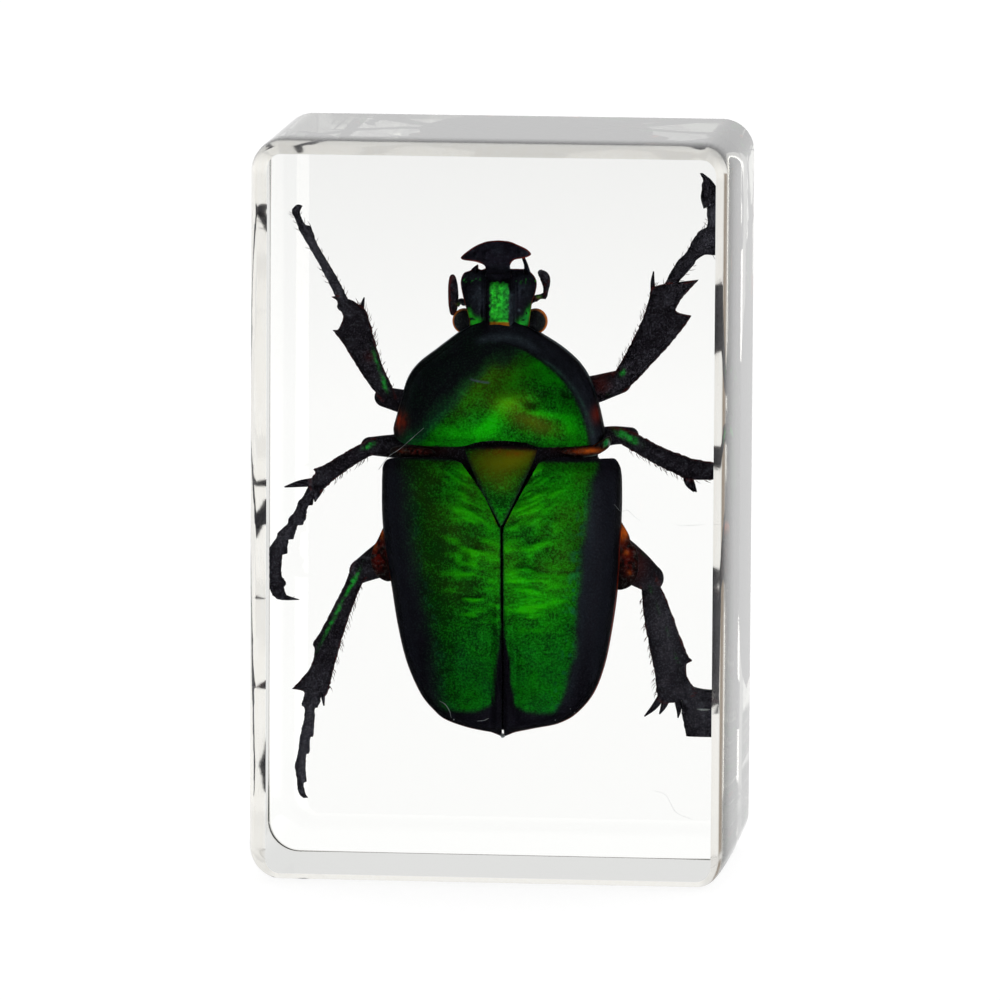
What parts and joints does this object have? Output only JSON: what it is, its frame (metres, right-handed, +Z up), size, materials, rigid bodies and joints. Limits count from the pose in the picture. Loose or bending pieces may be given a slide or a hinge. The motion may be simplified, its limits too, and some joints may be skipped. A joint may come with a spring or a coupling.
{
  "type": "insect in resin block",
  "caption": "Green horned beetle with spread legs, cast whole in a small clear resin block that stands on its short end.",
  "frame": {"origin": "middle of the underside, the short end that the block stands on", "axes": "+Z up along the beetle from its tail to its head, -Y out of the face that shows the beetle's back, +X to the right seen from that face"},
  "size_m": [0.0286, 0.017, 0.044],
  "materials": {
    "resin": "polished clear casting resin",
    "cuticle": "metallic green insect cuticle, glossy with fine grain"
  },
  "bodies": {
    "root": {"beetle": "cuticle", "resin_front": "resin", "resin_back": "resin"}
  },
  "joints": []
}
